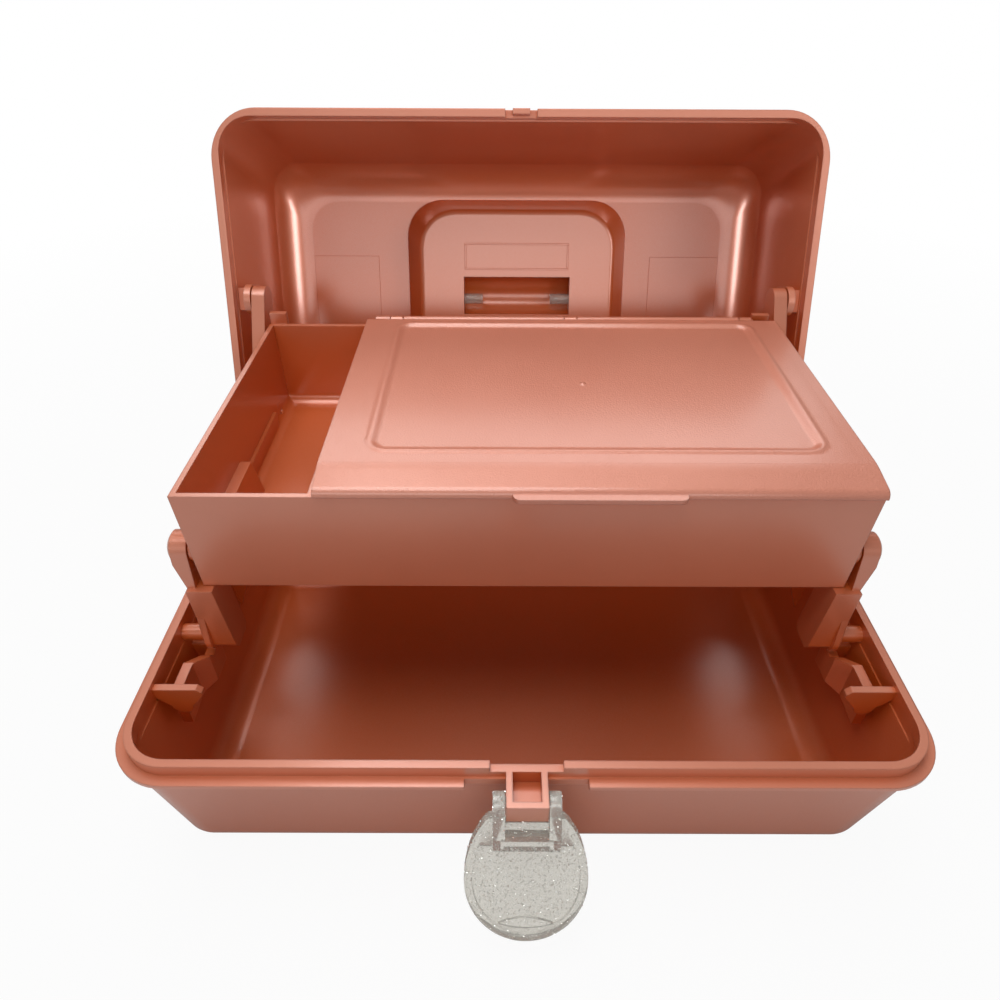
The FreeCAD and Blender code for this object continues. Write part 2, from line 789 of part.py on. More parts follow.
def make_front_lever():
    """Right-hand front lever: strap, thick foot under the tray, hole for the post, pin for the tray."""
    py, pz = post_pivot
    strap = link(post_pivot, front_tray_pivot, lever_half_width, lever_inner, lever_outer)
    low = pz - block_drop
    top = tray_bottom - block_clearance
    wedge = [
        (block_low_inner, low),
        (block_low_outer, low),
        (block_top_outer, top),
        (block_top_inner, top),
    ]
    foot = extrude_y(wedge, py - block_front, py + block_back)
    side = [
        (py - block_front, top),
        (py - block_front, pz - 2.0),
        (py - 2.5, low),
        (py + block_back - 2.1, low),
        (py + block_back, pz - 2.0),
        (py + block_back, top),
    ]
    foot = foot.common(extrude_x(side, block_low_inner - 1, block_top_outer + 1))
    # the strap's outer face leans out from the foot to the head
    head_z = front_tray_pivot[1]
    lean = [
        (block_low_outer, low - 3),
        (block_top_outer, top),
        (lever_outer, head_z - 3.0),
        (lever_outer + 5, head_z - 3.0),
        (lever_outer + 5, low - 3),
    ]
    lean = extrude_y(lean, py - 20, py + 20)
    under = box(block_low_inner, lever_outer + 1, py - 20, py + 20, low - 5, low)
    lever = strap.cut([lean, under]).fuse([foot, dome(front_tray_pivot)])
    pin_start = tray_half_x - tray_wall - 1
    lever = lever.fuse(rod_x(front_tray_pivot[0], head_z, pivot_radius, pin_start, lever_inner + 1))
    hole = rod_x(py, pz, post_radius + pivot_play, block_low_inner + 2.2, lever_outer + 1)
    return lever.cut(hole).removeSplitter()


def dome(pivot):
    """Shallow spherical cap on the outer face of a lever head."""
    y, z = pivot
    sphere_radius = (lever_half_width ** 2 + lever_dome ** 2) / (2 * lever_dome)
    ball = Part.makeSphere(sphere_radius, V(lever_outer + lever_dome - sphere_radius, y, z))
    return ball.common(rod_x(y, z, lever_half_width, lever_outer - 0.5, lever_outer + lever_dome + 1))


def make_rear_lever():
    """Right-hand rear lever: pin into the tray, pin out into the lid's ear."""
    ry, rz = rear_tray_pivot
    lever = link(rear_tray_pivot, ear_pivot, lever_half_width, lever_inner, lever_outer)
    lever = lever.fuse(rod_x(ry, rz, pivot_radius, tray_half_x - tray_wall - 1, lever_inner + 1))
    lever = lever.fuse(rod_x(ear_pivot[0], ear_pivot[1], pivot_radius, lever_outer - 1, ear_outer))
    return lever.removeSplitter()


def make_latch():
    """Disc on two arms, drawn hanging straight down from the pivot and then swung out."""
    centre = latch_z - latch_reach + latch_disc_radius
    back = latch_y + latch_offset
    shoulder_z = latch_z - latch_shoulder_drop
    neck_z = latch_z - latch_neck_drop
    disc = Part.makeCylinder(latch_disc_radius, latch_plate, V(0, back, centre), V(0, 1, 0))
    above = 2 * latch_disc_radius
    disc = disc.cut(box(-above, above, back - above, back + above, shoulder_z, latch_z + above))
    chord = math.sqrt(latch_disc_radius ** 2 - (shoulder_z - centre) ** 2)
    plate = [
        (-chord, shoulder_z - 0.5),
        (chord, shoulder_z - 0.5),
        (latch_shoulder, shoulder_z),
        (latch_arm_outer, neck_z),
        (-latch_arm_outer, neck_z),
        (-latch_shoulder, shoulder_z),
    ]
    shoulders = extrude_y(plate, back, back + latch_plate)
    rim_front = back - latch_rim_height
    rim = Part.makeCylinder(latch_disc_radius, latch_rim_height, V(0, rim_front, centre), V(0, 1, 0))
    rim = rim.cut(Part.makeCylinder(latch_disc_radius - latch_rim, 9, V(0, rim_front - 2, centre), V(0, 1, 0)))
    rim = rim.cut(box(-above, above, back - above, back + above, shoulder_z, latch_z + above))
    arms = []
    for side in (-1, 1):
        x0, x1 = sorted((side * latch_arm_inner, side * latch_arm_outer))
        arm = rod_x(latch_y, latch_z, latch_arm_radius, x0, x1)
        shank = [
            (latch_y - latch_arm_radius, latch_z),
            (latch_y + latch_arm_radius, latch_z),
            (back + latch_plate, neck_z - 2),
            (back + 0.5, neck_z - 14),
            (back - 0.5, neck_z - 12),
            (latch_y - latch_arm_radius, neck_z - 2),
        ]
        pin_x = sorted((side * (socket_half_x - socket_wall + 0.4), side * (latch_arm_inner + 0.5)))
        pin = rod_x(latch_y, latch_z, latch_pin, pin_x[0], pin_x[1])
        arms += [arm, extrude_x(shank, x0, x1), pin]
    bar_x = latch_arm_inner + 1
    bar_z = latch_z - latch_bar_reach
    bar_front = back - latch_bar_depth
    bar = box(-bar_x, bar_x, bar_front, back + latch_plate, bar_z - latch_bar_half, bar_z + latch_bar_half)
    latch = disc.fuse([shoulders, rim, bar] + arms)
    return turned(latch.removeSplitter(), latch_y, latch_z, -latch_swing)


def make_handle():
    """Bail that lies in the well on the hinge side, drawn with the lid shut."""
    low = handle_z - handle_grip
    high = handle_z + handle_grip
    inner_x = handle_half_x - handle_width
    outer = rounded_upright(box(-handle_half_x, handle_half_x, -handle_reach, handle_reach, low, high), 9.0)
    inner_end = handle_reach - handle_width
    inner = rounded_upright(box(-inner_x, inner_x, -2 * handle_reach, inner_end, low - 1, high + 1), 6.0)
    bail = outer.cut(inner)
    bail = bail.cut(box(-2 * handle_half_x, 2 * handle_half_x, -2 * handle_reach, 0, low - 1, high + 1))
    ends = []
    for side in (-1, 1):
        arm_x = sorted((side * inner_x, side * handle_half_x))
        ends.append(rod_x(0, handle_z, handle_grip, arm_x[0], arm_x[1]))
        pin_x = sorted((side * (inner_x + 1), side * (hump_half_x - handle_pin_length)))
        ends.append(rod_x(0, handle_z, handle_pin, pin_x[0], pin_x[1]))
    bail = bail.fuse(ends).removeSplitter()
    return turned(bail, hinge_y, hinge_z, -lid_open_angle)


front_lever = make_front_lever()
rear_lever = make_rear_lever()
nodes = {
    "base_shell": make_base(),
    "lid_shell": make_lid(),
    "hinge_rod": make_hinge_rod(),
    "tray": make_tray(),
    "flip_lid": make_flip_lid(),
    "mirror": make_mirror(),
    "front_lever_right": front_lever,
    "front_lever_left": mirrored(front_lever),
    "rear_lever_right": rear_lever,
    "rear_lever_left": mirrored(rear_lever),
    "latch": make_latch(),
    "handle": make_handle(),
}
for name, shape in nodes.items():
    shape.exportStep("parts/" + name + ".step")
    print(name, shape.isValid(), len(shape.Solids), round(shape.Volume / 1000, 2))
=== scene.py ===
import bpy
import bmesh
import math
from mathutils import Matrix, Vector


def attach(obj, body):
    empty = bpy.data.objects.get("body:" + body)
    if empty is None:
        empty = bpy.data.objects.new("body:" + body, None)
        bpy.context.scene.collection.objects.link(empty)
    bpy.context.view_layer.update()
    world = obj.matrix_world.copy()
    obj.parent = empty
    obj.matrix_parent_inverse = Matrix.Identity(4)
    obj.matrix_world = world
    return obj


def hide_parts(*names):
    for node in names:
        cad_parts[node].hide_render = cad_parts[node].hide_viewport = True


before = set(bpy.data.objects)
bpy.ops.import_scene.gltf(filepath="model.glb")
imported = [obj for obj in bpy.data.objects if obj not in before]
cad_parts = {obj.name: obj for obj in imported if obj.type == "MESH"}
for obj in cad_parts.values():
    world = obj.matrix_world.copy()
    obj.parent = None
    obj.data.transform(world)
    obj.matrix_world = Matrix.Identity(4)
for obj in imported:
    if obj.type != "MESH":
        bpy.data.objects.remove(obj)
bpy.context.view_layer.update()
print("frame loaded")

# rose-gold moulding with pearl pigment, and painted shade in its hollows
casePlastic = {
    "colour": (0.67, 0.235, 0.140),      # lit colour, out in the open
    "paintedShadeColour": (0.60, 0.112, 0.013),  # painted shade: darker, deeper orange where nearby walls shut out the light
    "reach": 0.10,        # metres over which nearby walls bring in the painted shade
    "allShadedUnder": 0.30,    # openness up to which the colour is all painted shade
    "unshadedOver": 0.85,     # openness from which there is no painted shade
    "opennessSamples": 6,
    "swirlScale": 14.0,   # clouds of pearl
    "swirlDetail": 4.0,
    "dullCloud": (0.3, (0.94, 0.90, 0.88)),    # place on the ramp, and shares of the colour
    "brightCloud": (0.7, (1.03, 1.05, 1.06)),
    "metallic": 0.22,
    "roughness": 0.36,
    "coat": 0.8,
    "coatRoughness": 0.22,
    "coatIor": 1.75,
    "grain": 0.05,        # strength of the tool grain
    "grainScale": 1900.0,
    "grainDetail": 2.0,
    "grainDepth": 0.0002,
    "edge": 0.0007,       # softened edge of a moulding
    "edgeSamples": 4,
}
# the flip lid has a coarser grain, and a paler pink colour that is painted sheen of the overhead light on
# that grain
grainAndSheenPlastic = dict(casePlastic, colour=(0.66, 0.25, 0.165), grain=0.8, roughness=0.46, coat=0.6)

# clear plastic, a little milky
clearPlastic = {
    "colour": (0.78, 0.76, 0.70, 1.0),
    "roughness": 0.16,
    "transmission": 0.74,
    "ior": 1.49,
    "cloudScale": 260.0,
    "cloudDetail": 3.0,
    "cloudStrength": 0.25,
    "cloudDepth": 0.0003,
}

plainFinishes = {
    "silver flake": {"Base Color": (0.95, 0.95, 0.93, 1.0), "Metallic": 1.0, "Roughness": 0.22},
    "steel rod": {"Base Color": (0.55, 0.55, 0.57, 1.0), "Metallic": 1.0, "Roughness": 0.3},
    "silvered glass": {"Base Color": (0.9, 0.92, 0.93, 1.0), "Metallic": 1.0, "Roughness": 0.02},
}


def setInputs(node, values):
    for key, value in values.items():
        node.inputs[key].default_value = value


def addNode(tree, kind, inputs=None, **settings):
    node = tree.nodes.new(kind)
    for key, value in settings.items():
        setattr(node, key, value)
    setInputs(node, inputs or {})
    return node


def join(tree, start, end):
    tree.links.new(start, end)


def newMaterial(name):
    material = bpy.data.materials.new(name)
    material.use_nodes = True
    tree = material.node_tree
    tree.nodes.clear()
    shader = addNode(tree, "ShaderNodeBsdfPrincipled")
    output = addNode(tree, "ShaderNodeOutputMaterial")
    join(tree, shader.outputs["BSDF"], output.inputs["Surface"])
    return material, shader


def makeCasePlastic(name, spec, softEdges):
    # clouds of pearl vary the colour a little, and tool grain the surface; a painted shade, darker and deeper
    # orange, fills the hollows where ambient occlusion finds walls near
    material, shader = newMaterial(name)
    tree = material.node_tree
    place = addNode(tree, "ShaderNodeTexCoord")
    swirl = addNode(tree, "ShaderNodeTexNoise", {"Scale": spec["swirlScale"], "Detail": spec["swirlDetail"]})
    join(tree, place.outputs["Object"], swirl.inputs["Vector"])
    tint = addNode(tree, "ShaderNodeValToRGB")
    for stop, cloud in zip(tint.color_ramp.elements, (spec["dullCloud"], spec["brightCloud"])):
        stop.position = cloud[0]
        stop.color = (*(part * share for part, share in zip(spec["colour"], cloud[1])), 1.0)
    join(tree, swirl.outputs["Fac"], tint.inputs["Fac"])
    # painted shade: ambient occlusion blends the colour towards a darker, deeper orange in hollows
    openness = addNode(tree, "ShaderNodeAmbientOcclusion", {"Distance": spec["reach"]},
                       samples=spec["opennessSamples"])
    share = addNode(tree, "ShaderNodeMapRange", {"From Min": spec["allShadedUnder"], "From Max": spec["unshadedOver"]})
    join(tree, openness.outputs["AO"], share.inputs["Value"])
    paintedShadeBlend = addNode(tree, "ShaderNodeMix", {6: (*spec["paintedShadeColour"], 1.0)}, data_type="RGBA")
    join(tree, share.outputs["Result"], paintedShadeBlend.inputs["Factor"])
    join(tree, tint.outputs["Color"], paintedShadeBlend.inputs[7])
    join(tree, paintedShadeBlend.outputs[2], shader.inputs["Base Color"])
    setInputs(shader, {
        "Metallic": spec["metallic"],
        "Roughness": spec["roughness"],
        "Coat Weight": spec["coat"],
        "Coat Roughness": spec["coatRoughness"],
        "Coat IOR": spec["coatIor"],
    })
    fine = addNode(tree, "ShaderNodeTexNoise", {"Scale": spec["grainScale"], "Detail": spec["grainDetail"]})
    join(tree, place.outputs["Object"], fine.inputs["Vector"])
    bump = addNode(tree, "ShaderNodeBump", {"Strength": spec["grain"], "Distance": spec["grainDepth"]})
    join(tree, fine.outputs["Fac"], bump.inputs["Height"])
    if softEdges:
        soft = addNode(tree, "ShaderNodeBevel", {"Radius": spec["edge"]}, samples=spec["edgeSamples"])
        join(tree, soft.outputs["Normal"], bump.inputs["Normal"])
    join(tree, bump.outputs["Normal"], shader.inputs["Normal"])
    return material


def makeClearPlastic():
    spec = clearPlastic
    material, shader = newMaterial("clear glitter plastic")
    tree = material.node_tree
    place = addNode(tree, "ShaderNodeTexCoord")
    cloud = addNode(tree, "ShaderNodeTexNoise", {"Scale": spec["cloudScale"], "Detail": spec["cloudDetail"]})
    join(tree, place.outputs["Object"], cloud.inputs["Vector"])
    bump = addNode(tree, "ShaderNodeBump", {"Strength": spec["cloudStrength"],
                                            "Distance": spec["cloudDepth"]})
    join(tree, cloud.outputs["Fac"], bump.inputs["Height"])
    join(tree, bump.outputs["Normal"], shader.inputs["Normal"])
    setInputs(shader, {
        "Base Color": spec["colour"],
        "Transmission Weight": spec["transmission"],
        "Roughness": spec["roughness"],
        "IOR": spec["ior"],
    })
    return material


def makePlain(name):
    material, shader = newMaterial(name)
    setInputs(shader, plainFinishes[name])
    return material


def dress(node, material):
    for slot in bpy.data.objects[node].material_slots:
        slot.material = material


smoothPlastic = makeCasePlastic("rose moulding", casePlastic, True)
linerPlastic = makeCasePlastic("rose inner moulding", casePlastic, False)
grainPlastic = makeCasePlastic("rose grained moulding", grainAndSheenPlastic, True)
skinPlastic = makeCasePlastic("rose grained panel", grainAndSheenPlastic, False)
clear = makeClearPlastic()
flake = makePlain("silver flake")
for node in ("base_shell", "lid_shell", "tray", "front_lever_left", "front_lever_right",
             "rear_lever_left", "rear_lever_right"):
    dress(node, smoothPlastic)
dress("flip_lid", grainPlastic)
dress("handle", clear)
dress("hinge_rod", makePlain("steel rod"))
dress("mirror", makePlain("silvered glass"))
print("materials done")

sharpOver = 35     # degrees between two faces over which a smooth piece keeps a crisp edge
weldReach = 1e-7   # metres


def newPiece(name, points, faces, material, body, turn=None, smooth=True):
    # points in millimetres, drawn in place or turned into it
    mesh = bpy.data.meshes.new(name)
    placed = [turn(p) if turn else p for p in points]
    mesh.from_pydata([(x / 1000, y / 1000, z / 1000) for x, y, z in placed], [], faces)
    mesh.materials.append(material)
    for face in mesh.polygons:
        face.use_smooth = smooth
    piece = bpy.data.objects.new(name, mesh)
    bpy.context.scene.collection.objects.link(piece)
    edit = bmesh.new()
    edit.from_mesh(mesh)
    bmesh.ops.remove_doubles(edit, verts=edit.verts, dist=weldReach)
    bmesh.ops.recalc_face_normals(edit, faces=edit.faces)
    edit.to_mesh(mesh)
    edit.free()
    if smooth:
        mesh.set_sharp_from_angle(angle=math.radians(sharpOver))
    if body:
        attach(piece, body)
    return piece


def keepResult(piece):
    # the mesh that the modifiers make takes the place of the piece's own
    depsgraph = bpy.context.evaluated_depsgraph_get()
    mesh = bpy.data.meshes.new_from_object(piece.evaluated_get(depsgraph))
    piece.modifiers.clear()
    piece.data = mesh
    return mesh


def turnAbout(pivot, degrees):
    # a turn about an X axis through (y, z)
    angle = math.radians(degrees)
    py, pz = pivot

    def turn(point):
        x, y, z = point
        dy, dz = y - py, z - pz
        return (x, py + dy * math.cos(angle) - dz * math.sin(angle),
                pz + dy * math.sin(angle) + dz * math.cos(angle))
    return turn


lidHinge = (77.5, 51.5)
lidOpening = 111.5                          # degrees
openLid = turnAbout(lidHinge, -lidOpening)  # pieces of the lid are drawn with it shut


def roundedRing(halfX, front, rear, radius, z, steps=10):
    # points round a rectangle with rounded corners
    ring = []
    left, right, low, high = -halfX + radius, halfX - radius, front + radius, rear - radius
    for cx, cy, start in ((right, high, 0), (left, high, 90), (left, low, 180), (right, low, 270)):
        for k in range(steps + 1):
            angle = math.radians(start + 90 * k / steps)
            ring.append((cx + radius * math.cos(angle), cy + radius * math.sin(angle), z))
    return ring


def loft(rings):
    # quads between rings of the same count, and from the last ring back to the first
    points = [p for ring in rings for p in ring]
    count = len(rings[0])
    faces = []
    for r in range(len(rings)):
        here, there = r * count, ((r + 1) % len(rings)) * count
        for k in range(count):
            after = (k + 1) % count
            faces.append((here + k, here + after, there + after, there + k))
    return points, faces


# large soft curve between the lid's ceiling and its sides
lidCurve = {
    "ceiling": 119.8,      # inside, with the lid shut
    "rim": 53.7,
    "halfX": 122.7,        # inner half-width at the rim
    "front": -71.2,
    "rear": 71.2,
    "sideDraft": 5.0,
    "frontDraft": 9.5,
    "corner": 14.1,
    "radius": 14.0,
    "steps": 18,
    "tuck": 0.06,          # how far it starts inside the wall
    "hidden": 9.1,         # radius of the fillet behind it
    "hiddenSteps": 8,
    "sunk": 0.5,           # how far its back lies inside the wall
}


def lidOutline(z, inset):
    spec = lidCurve
    rise = z - spec["rim"]
    side = rise * math.tan(math.radians(spec["sideDraft"]))
    front = rise * math.tan(math.radians(spec["frontDraft"]))
    return roundedRing(spec["halfX"] - side - inset, spec["front"] + front + inset,
                       spec["rear"] - side - inset, spec["corner"], z)


def makeLidCurve():
    spec = lidCurve
    ceiling, radius, hidden, sunk = spec["ceiling"], spec["radius"], spec["hidden"], spec["sunk"]
    rings = []
    for k in range(spec["steps"] + 1):
        angle = math.radians(90 * k / spec["steps"])
        rings.append(lidOutline(ceiling - radius * (1 - math.sin(angle)),
                                radius * (1 - math.cos(angle)) - spec["tuck"]))
    rings.append(lidOutline(ceiling + sunk, radius))
    for k in range(spec["hiddenSteps"], -1, -1):
        angle = math.radians(90 * k / spec["hiddenSteps"])
        drop = hidden * (1 - math.sin(angle)) - sunk * math.sin(angle)
        rings.append(lidOutline(ceiling - drop, hidden * (1 - math.cos(angle)) - sunk * math.cos(angle)))
    rings.append(lidOutline(ceiling - radius, -sunk))
    points, faces = loft(rings)
    newPiece("lid_inner_curve", points, faces, linerPlastic, "lid", openLid)


makeLidCurve()

# faint raised marks inside the lid; a frame or pad is left, right, front, rear
lidMarks = {
    "frame": (-25.7, 25.3, -26.2, -13.7),
    "frameWidth": 0.9,
    "bossFace": 104.6,
    "pads": ((-103.0, -70.0, -20.5, 44.0), (68.0, 103.0, -20.5, 44.0)),
    "ceiling": 119.8,
    "rise": 0.16,
    "buried": 0.3,
}


def makeLidMarks():
    spec = lidMarks
    points, faces = [], []

    def slab(left, right, front, rear, face):
        # its sides slope at 45 degrees
        first = len(points)
        rise = spec["rise"]
        for grow, z in ((0, face + spec["buried"]), (0, face), (-rise, face - rise)):
            points.extend([(left - grow, front - grow, z), (right + grow, front - grow, z),
                           (right + grow, rear + grow, z), (left - grow, rear + grow, z)])
        for level in (0, 4):
            for k in range(4):
                a, b = first + level + k, first + level + (k + 1) % 4
                faces.append((a, b, b + 4, a + 4))
        faces.append((first, first + 3, first + 2, first + 1))
        faces.append((first + 8, first + 9, first + 10, first + 11))

    left, right, front, rear = spec["frame"]
    width = spec["frameWidth"]
    for bar in ((left, right, front, front + width), (left, right, rear - width, rear),
                (left, left + width, front + width, rear - width),
                (right - width, right, front + width, rear - width)):
        slab(*bar, spec["bossFace"])
    for pad in spec["pads"]:
        slab(*pad, spec["ceiling"])
    newPiece("lid_inner_marks", points, faces, linerPlastic, "lid", openLid, False)


makeLidMarks()
print("lid curve and marks done")

# top skin of the flip lid: sunk panel with a soft step and a bead round it, and the gate mark
flipPanel = {
    "left": -62.6, "right": 106.1, "front": -5.2, "back": 95.4,
    "top": 119.53, "under": 118.3,
    "panelLeft": -49.4, "panelRight": 94.6, "panelFront": 1.6, "panelBack": 93.2,
    "corner": 5.5, "step": 2.6, "depth": 0.86,
    "bead": 0.34, "beadHalf": 1.7, "beadShift": 0.35,   # the shift is a share of the half-width
    "feather": 5.0, "feathered": 0.10,                  # how wide and deep the border falls away
    "gate": (21.9, 44.8), "gateRadius": 0.9, "gateRise": 0.8,
    "countX": 300, "countY": 190,
}


def panelDepth(x, y):
    # how far the skin lies below its top at a place
    spec = flipPanel
    cx, cy = (spec["panelLeft"] + spec["panelRight"]) / 2, (spec["panelFront"] + spec["panelBack"]) / 2
    hx, hy = (spec["panelRight"] - spec["panelLeft"]) / 2, (spec["panelBack"] - spec["panelFront"]) / 2
    corner = spec["corner"]
    dx, dy = abs(x - cx) - (hx - corner), abs(y - cy) - (hy - corner)
    outside = math.hypot(max(dx, 0), max(dy, 0)) + min(max(dx, dy), 0) - corner
    share = min(max(-outside / spec["step"], 0), 1)
    sunk = spec["depth"] * share * share * (3 - 2 * share)
    away = abs(outside - spec["beadHalf"] * spec["beadShift"]) / spec["beadHalf"]
    bead = spec["bead"] * (1 - away * away) ** 2 if away < 1 else 0
    border = min(x - spec["left"], spec["right"] - x, y - spec["front"], spec["back"] - y)
    feather = 1 - min(border / spec["feather"], 1)
    gx, gy = spec["gate"]
    near = math.hypot(x - gx, y - gy) / spec["gateRadius"]
    bump = spec["gateRise"] * (1 - near * near) if near < 1 else 0
    return sunk + feather * feather * spec["feathered"] - bump - bead


def makeFlipPanel():
    spec = flipPanel
    nx, ny = spec["countX"], spec["countY"]
    points = []
    for j in range(ny + 1):
        y = spec["front"] + (spec["back"] - spec["front"]) * j / ny
        for i in range(nx + 1):
            x = spec["left"] + (spec["right"] - spec["left"]) * i / nx
            points.append((x, y, spec["top"] - panelDepth(x, y)))
    row = nx + 1
    faces = [(j * row + i, j * row + i + 1, (j + 1) * row + i + 1, (j + 1) * row + i)
             for j in range(ny) for i in range(nx)]
    border = ([i for i in range(nx)] + [j * row + nx for j in range(ny)]
              + [ny * row + i for i in range(nx, 0, -1)] + [j * row for j in range(ny, 0, -1)])
    start = len(points)
    points += [(points[k][0], points[k][1], spec["under"]) for k in border]
    count = len(border)
    for k in range(count):
        faces.append((border[k], start + k, start + (k + 1) % count, border[(k + 1) % count]))
    faces.append(tuple(range(start + count - 1, start - 1, -1)))
    newPiece("flip_lid_skin", points, faces, skinPlastic, "flip_lid")


makeFlipPanel()
print("flip lid skin done")

# the latch is drawn hanging straight down from its pivot, then swung out; Y and Z are from the pivot
latch = {
    "pivot": (-77.5, 52.0), "swing": -29.0,
    "back": 5.0, "inner": 2.4, "raised": 1.2,   # faces of the disc, its recess and its rim
    "centre": -26.4, "half": 18.3, "bottom": -46.6, "highReach": 25.6, "top": -6.2, "discSteps": 96,
    "notchHalf": 6.2, "notch": -7.4, "notchDepth": 9.0,
    "recessTop": -15.0, "rimWidth": 2.3,
    "armInner": 6.35, "armOuter": 9.8,
    "arm": [(-3.0, 0.0), (-2.8, 1.2), (-2.1, 2.1), (-1.1, 2.8), (0.0, 3.0), (1.1, 2.8), (2.1, 2.1),
            (2.8, 1.2), (3.0, 0.0), (4.6, -5.9), (4.6, -12.0), (1.4, -17.0), (0.2, -16.0),
            (-1.4, -13.6), (-3.0, -10.5)],      # its side view
    "pin": 1.5, "pinIn": 4.55, "pinSteps": 32,
    "barTop": -10.0, "barBottom": -13.0, "barFront": -3.9, "barLift": 0.4, "barDrop": 0.8,
    "buried": 0.6, "barBuried": 1.2,            # how far the pins and the bar go into what holds them
    "gripHalf": 8.4, "gripLow": -42.4, "gripHigh": -39.0, "lowBow": 1.4, "highBow": 2.0,
    "gripRise": 0.9, "gripBuried": 0.4, "gripSteps": 24,
    "softEdge": 0.00035, "softSteps": 2, "softOver": 35, "sharpOver": 40,
}
hangLatch = turnAbout(latch["pivot"], latch["swing"])


def latchOutline(grow, top):
    # egg shape of the disc, cut level at the top
    spec = latch
    steps = spec["discSteps"]
    lowReach = spec["centre"] - spec["bottom"]
    points = []
    for k in range(steps):
        angle = math.radians(-270 + 360 * k / steps)
        reach = spec["highReach"] if math.sin(angle) > 0 else lowReach
        x = (spec["half"] + grow) * math.cos(angle)
        z = spec["centre"] + (reach + grow) * math.sin(angle)
        points.append((x, min(z, top)))
    return points


def prism(outline, near, far, place):
    # closed solid from a flat outline between two depths
    count = len(outline)
    points = [place(p, depth) for depth in (near, far) for p in outline]
    faces = [tuple(range(count)), tuple(range(2 * count - 1, count - 1, -1))]
    faces += [(k, (k + 1) % count, count + (k + 1) % count, count + k) for k in range(count)]
    return points, faces


def prismY(outline, near, far):
    return prism(outline, near, far, lambda p, depth: (p[0], depth, p[1]))


def prismX(outline, left, right):
    return prism(outline, left, right, lambda p, depth: (depth, p[0], p[1]))


def circle(radius, count):
    return [(radius * math.cos(math.tau * k / count), radius * math.sin(math.tau * k / count))
            for k in range(count)]


def combine(base, others):
    # joins or cuts the other solids one by one
    for other, how in others:
        step = base.modifiers.new("step", "BOOLEAN")
        step.operation = how
        step.solver = "EXACT"
        step.object = other
        keepResult(base)
        bpy.data.objects.remove(other)


def latchSolid(shape):
    points, faces = shape
    py, pz = latch["pivot"]
    lifted = [(x, y + py, z + pz) for x, y, z in points]
    return newPiece("latch step", lifted, faces, clear, None, hangLatch, False)


def gripEdge(height, bow, order):
    # one curved edge of the thumb grip
    half, steps = latch["gripHalf"], latch["gripSteps"]
    edge = []
    for k in order:
        x = -half + 2 * half * k / steps
        edge.append((x, height + bow * (x / half) ** 2))
    return edge


def makeLatch():
    spec = latch
    inner, buried = spec["inner"], spec["buried"]
    cast = latchSolid(prismY(latchOutline(0, spec["top"]), spec["raised"], spec["back"]))
    parts = []
    recess = latchOutline(-spec["rimWidth"], spec["recessTop"])
    parts.append((latchSolid(prismY(recess, 0.0, inner)), "DIFFERENCE"))
    half = spec["notchHalf"]
    notch = [(-half, spec["notch"]), (half, spec["notch"]), (half, 0.0), (-half, 0.0)]
    parts.append((latchSolid(prismY(notch, 0.0, spec["notchDepth"])), "DIFFERENCE"))
    for side in (-1, 1):
        armEnds = sorted((side * spec["armInner"], side * spec["armOuter"]))
        parts.append((latchSolid(prismX(spec["arm"], *armEnds)), "UNION"))
        pinEnds = sorted((side * spec["pinIn"], side * (spec["armInner"] + buried)))
        parts.append((latchSolid(prismX(circle(spec["pin"], spec["pinSteps"]), *pinEnds)), "UNION"))
    bar = [(spec["barFront"], spec["barTop"]), (spec["barFront"], spec["barBottom"]),
           (inner + buried, spec["barBottom"] - spec["barDrop"]),
           (inner + buried, spec["barTop"] + spec["barLift"])]
    barHalf = spec["armInner"] + spec["barBuried"]
    parts.append((latchSolid(prismX(bar, -barHalf, barHalf)), "UNION"))
    # thumb grip: a raised crescent
    steps = spec["gripSteps"]
    grip = (gripEdge(spec["gripLow"], spec["lowBow"], range(steps + 1))
            + gripEdge(spec["gripHigh"], -spec["highBow"], range(steps - 1, 0, -1)))
    parts.append((latchSolid(prismY(grip, inner - spec["gripRise"], inner + spec["gripBuried"])), "UNION"))
    combine(cast, parts)
    cast.name = "latch_cast"
    soft = cast.modifiers.new("soft", "BEVEL")
    soft.width = spec["softEdge"]
    soft.segments = spec["softSteps"]
    soft.limit_method = "ANGLE"
    soft.angle_limit = math.radians(spec["softOver"])
    mesh = keepResult(cast)
    for face in mesh.polygons:
        face.use_smooth = True
    mesh.set_sharp_from_angle(angle=math.radians(spec["sharpOver"]))
    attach(cast, "latch")
    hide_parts("latch")
    return cast


latchCast = makeLatch()
print("latch done")

# silver flakes at the skin of the clear plastic
glitter = {
    "flakeRadius": 0.00018,       # metres
    "flakeCorners": 5,
    "smallest": 0.5,              # shares of the radius
    "largest": 1.3,
    "fullTurn": 6.28,
    "latchDensity": 2600000.0,    # flakes in a square metre
    "handleDensity": 900000.0,
    "seed": 7,
}


